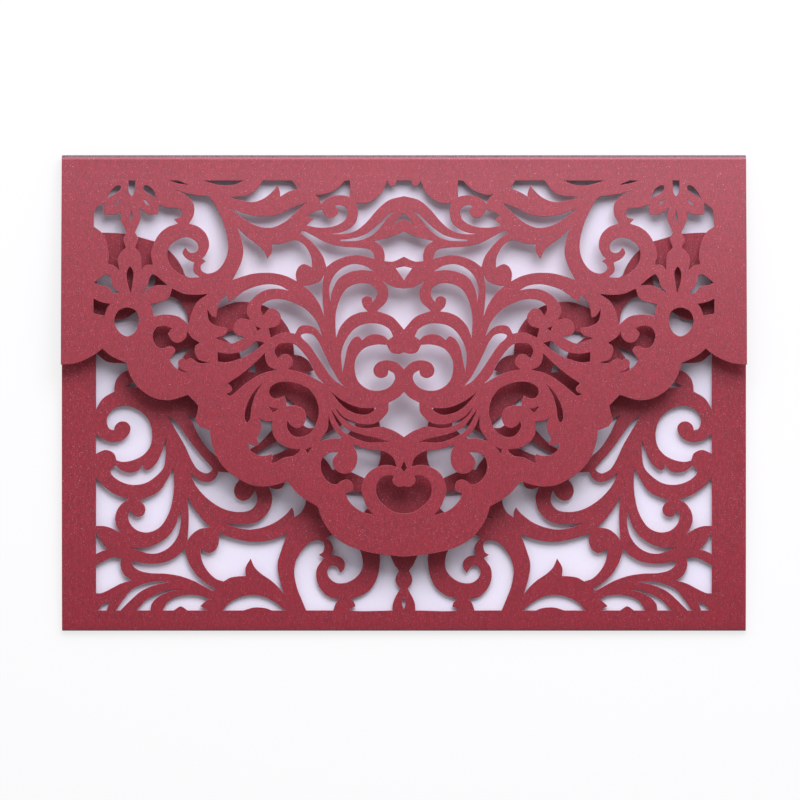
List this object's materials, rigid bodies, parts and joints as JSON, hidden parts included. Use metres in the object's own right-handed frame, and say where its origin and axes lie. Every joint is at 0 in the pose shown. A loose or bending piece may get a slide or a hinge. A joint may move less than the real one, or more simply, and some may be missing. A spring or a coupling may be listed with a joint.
{
  "type": "wedding invitation",
  "caption": "Folded laser-cut invitation folder: back panel, cut-out pocket and scalloped cut-out flap in one sheet, holding a plain flat card.",
  "frame": {"origin": "middle of the closed folder's footprint, on the surface that its back panel lies on", "axes": "+X along the top fold to the right as the flap is read, +Y from the bottom fold to the top fold, +Z out of the flap"},
  "size_m": [0.184, 0.128, 0.008],
  "materials": {
    "burgundy_card": "pearlescent card, satin",
    "pearl_card": "pearl card, satin"
  },
  "bodies": {
    "root": {"folder": "burgundy_card", "insert_card": "pearl_card"}
  },
  "joints": []
}
